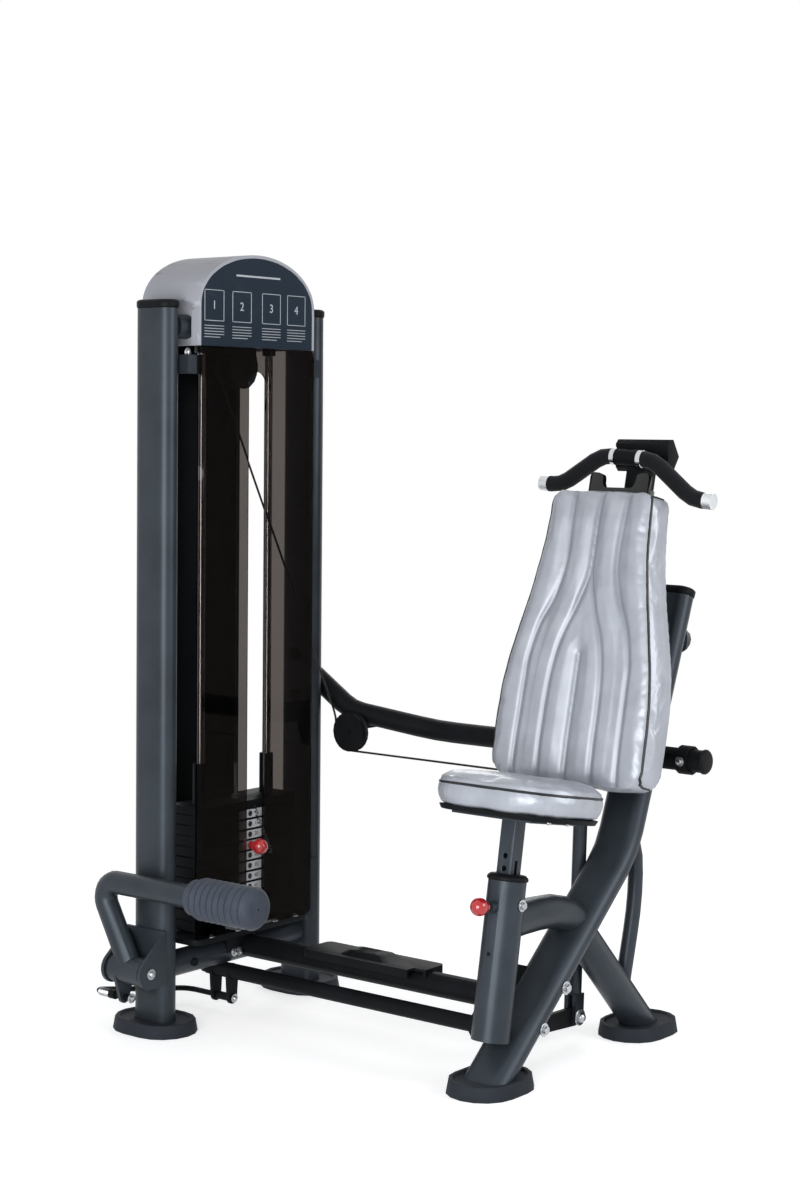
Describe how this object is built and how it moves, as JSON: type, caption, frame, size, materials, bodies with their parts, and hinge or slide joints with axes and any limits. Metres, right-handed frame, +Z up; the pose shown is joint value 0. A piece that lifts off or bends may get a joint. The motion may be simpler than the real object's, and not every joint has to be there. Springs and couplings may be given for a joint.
{
  "type": "triceps extension machine",
  "caption": "Selectorised gym machine with a weight tower, a shielded plate stack, a seat with a sloping channelled backrest, an overhead handle bar and a start pedal.",
  "frame": {"origin": "on the floor, at the middle of the machine's footprint", "axes": "+X from the weight tower to the seat, +Y from the pedal side to the back of the backrest, +Z up"},
  "size_m": [1.1246, 0.9264, 1.655],
  "materials": {
    "frame_paint": "satin charcoal metallic paint",
    "black_paint": "satin black paint",
    "black_plastic": "satin moulded plastic",
    "gloss_black": "glossy moulded plastic",
    "grey_plastic": "matt light grey moulding",
    "sign_plastic": "satin dark panel",
    "smoked_acrylic": "clear smoked sheet",
    "chrome": "polished",
    "zinc": "zinc plated",
    "aluminium": "brushed",
    "pad_rubber": "matt",
    "grip_rubber": "matt ribbed",
    "foam": "matt closed foam",
    "leatherette": "soft satin grain",
    "red_plastic": "glossy",
    "cable_jacket": "satin jacket"
  },
  "bodies": {
    "frame": {"near_upright": "frame_paint", "far_upright": "frame_paint", "top_cross_tube": "frame_paint", "base_cross_tube": "frame_paint", "s_frame": "frame_paint", "guide_tube": "frame_paint", "main_beam": "frame_paint", "pedal_bracket": "frame_paint", "seat_post": "frame_paint", "arch_brace": "frame_paint", "rear_leg": "frame_paint", "bow_tube": "frame_paint", "upper_tube": "frame_paint", "base_plate": "black_paint", "spine_panel": "black_paint", "lower_stack": "black_paint", "foot_plate": "black_paint", "upper_tube_collar": "black_paint", "near_upright_cap": "black_plastic", "far_upright_cap": "black_plastic", "s_frame_cap": "black_plastic", "seat_post_cap": "black_plastic", "upper_tube_cap": "black_plastic", "backrest_shell": "gloss_black", "shroud": "grey_plastic", "sign_panel": "sign_plastic", "front_shield": "smoked_acrylic", "near_guide_rod": "chrome", "far_guide_rod": "chrome", "near_upright_pad": "pad_rubber", "far_upright_pad": "pad_rubber", "front_seat_pad": "pad_rubber", "rear_seat_pad": "pad_rubber", "backrest_cushion": "leatherette", "run_cable": "cable_jacket"},
    "stack": {"lifted_plates": "black_paint", "top_plate": "black_paint", "selector_rod": "chrome", "cable_fitting": "zinc", "pin_lanyard": "cable_jacket", "stack_cable": "cable_jacket"},
    "weight_pin": {"selector_pin": "red_plastic"},
    "pedal": {"pedal_lever": "frame_paint", "pedal_grip": "grip_rubber"},
    "torque_tube": {"torque_tube": "frame_paint"},
    "link": {"link_rod": "zinc"},
    "pusher": {"push_rod": "frame_paint"},
    "lifter": {"lifter": "frame_paint"},
    "carriage": {"carriage": "black_paint"},
    "handle": {"handle_bar": "aluminium", "left_grip": "foam", "right_grip": "foam", "centre_sleeve": "foam"},
    "pulley_top": {"top_pulley": "black_plastic"},
    "pulley_outer": {"outer_pulley": "black_plastic"},
    "pulley_turning": {"turning_pulley": "black_plastic"},
    "seat": {"seat_slider": "frame_paint", "seat_board": "black_paint", "seat_cushion": "leatherette"},
    "seat_lock": {"seat_pin": "red_plastic"}
  },
  "joints": [
    {"name": "carriage_slide", "type": "slide", "parent": "lifter", "child": "carriage", "axis": [0, 0.2302, 0.9731], "range_m": [0, 0.35]},
    {"name": "stack_slide", "type": "slide", "parent": "frame", "child": "stack", "axis": [0, 0, 1], "range_m": [0, 0.35], "deforming": ["stack_cable"]},
    {"name": "weight_pin_slide", "type": "slide", "parent": "stack", "child": "weight_pin", "axis": [1, 0, 0], "range_m": [0, 0.05]},
    {"name": "pedal_hinge", "type": "hinge", "parent": "frame", "child": "pedal", "pos_m": [-0.44437, -0.41923, 0.14], "axis": [1, 0, 0], "range_deg": [0, 25]},
    {"name": "torque_tube_hinge", "type": "hinge", "parent": "frame", "child": "torque_tube", "pos_m": [-0.44437, -0.13123, 0.087], "axis": [1, 0, 0], "range_deg": [0, 26]},
    {"name": "link_hinge", "type": "hinge", "parent": "pedal", "child": "link", "pos_m": [-0.44437, -0.41923, 0.08], "axis": [1, 0, 0], "range_deg": [-26, 0]},
    {"name": "pusher_hinge", "type": "hinge", "parent": "torque_tube", "child": "pusher", "pos_m": [0.28663, 0.15777, 0.052], "axis": [1, 0, 0], "range_deg": [-30, 0]},
    {"name": "lifter_slide", "type": "slide", "parent": "frame", "child": "lifter", "axis": [0, 0.2302, 0.9731], "range_m": [0, 0.1281]},
    {"name": "handle_hinge", "type": "hinge", "parent": "carriage", "child": "handle", "pos_m": [0.35463, 0.23477, 1.227], "axis": [0, 1, 0], "range_deg": [-10, 10]},
    {"name": "pulley_top_hinge", "type": "hinge", "parent": "frame", "child": "pulley_top", "pos_m": [-0.43437, -0.14623, 1.411], "axis": [1, 0, 0], "range_deg": [0, 630]},
    {"name": "pulley_outer_hinge", "type": "hinge", "parent": "frame", "child": "pulley_outer", "pos_m": [-0.32137, 0.14777, 0.597], "axis": [0, 1, 0], "range_deg": [-470, 0]},
    {"name": "pulley_turning_hinge", "type": "hinge", "parent": "frame", "child": "pulley_turning", "pos_m": [0.32063, 0.14777, 0.588], "axis": [0, 1, 0], "range_deg": [-595, 0]},
    {"name": "seat_slide", "type": "slide", "parent": "frame", "child": "seat", "axis": [0, 0.1694, 0.9855], "range_m": [-0.075, 0.05]},
    {"name": "seat_lock_slide", "type": "slide", "parent": "frame", "child": "seat_lock", "axis": [0, -0.9855, 0.1694], "range_m": [-0.0065, 0]}
  ],
  "couplings": [
    {"joint": "stack_slide", "follows": "carriage_slide", "ratio": 1},
    {"joint": "pulley_top_hinge", "follows": "carriage_slide", "rad_per_m": 31.25},
    {"joint": "pulley_outer_hinge", "follows": "carriage_slide", "rad_per_m": -23.256},
    {"joint": "pulley_turning_hinge", "follows": "carriage_slide", "rad_per_m": -29.412},
    {"joint": "torque_tube_hinge", "follows": "pedal_hinge", "ratio": 1},
    {"joint": "link_hinge", "follows": "pedal_hinge", "ratio": -1},
    {"joint": "pusher_hinge", "follows": "pedal_hinge", "ratio": -1.1506},
    {"joint": "lifter_slide", "follows": "pedal_hinge", "m_per_rad": 0.2914}
  ]
}
